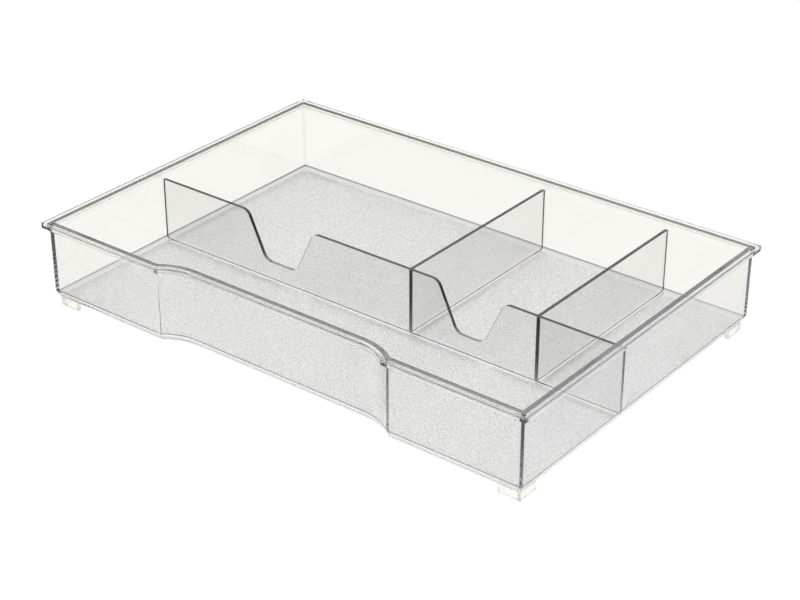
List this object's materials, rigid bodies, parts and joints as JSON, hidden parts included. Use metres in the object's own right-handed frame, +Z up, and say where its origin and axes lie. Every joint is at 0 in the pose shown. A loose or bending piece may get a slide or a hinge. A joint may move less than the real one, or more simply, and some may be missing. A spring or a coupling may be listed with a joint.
{
  "type": "desk organizer",
  "caption": "Low clear plastic desk tray with a gutter rim, a finger recess in the front wall, a scooped long divider, short cross dividers and corner feet.",
  "frame": {"origin": "on the surface that the feet stand on, under the middle of the tray", "axes": "+X along the long side, to the right when facing the finger recess; +Y from the front wall with the finger recess to the back wall; +Z up"},
  "size_m": [0.2446, 0.166, 0.0389],
  "materials": {
    "clear_shell": "clear moulded polystyrene, glossy walls and dividers, fine frosted grain on the floor",
    "clear_foot": "clear plastic with a light ivory tint"
  },
  "bodies": {
    "root": {"tray_shell": "clear_shell", "long_divider": "clear_shell", "cross_divider_left": "clear_shell", "cross_divider_right": "clear_shell", "front_left_foot": "clear_foot", "front_right_foot": "clear_foot", "back_right_foot": "clear_foot", "back_left_foot": "clear_foot"}
  },
  "joints": []
}
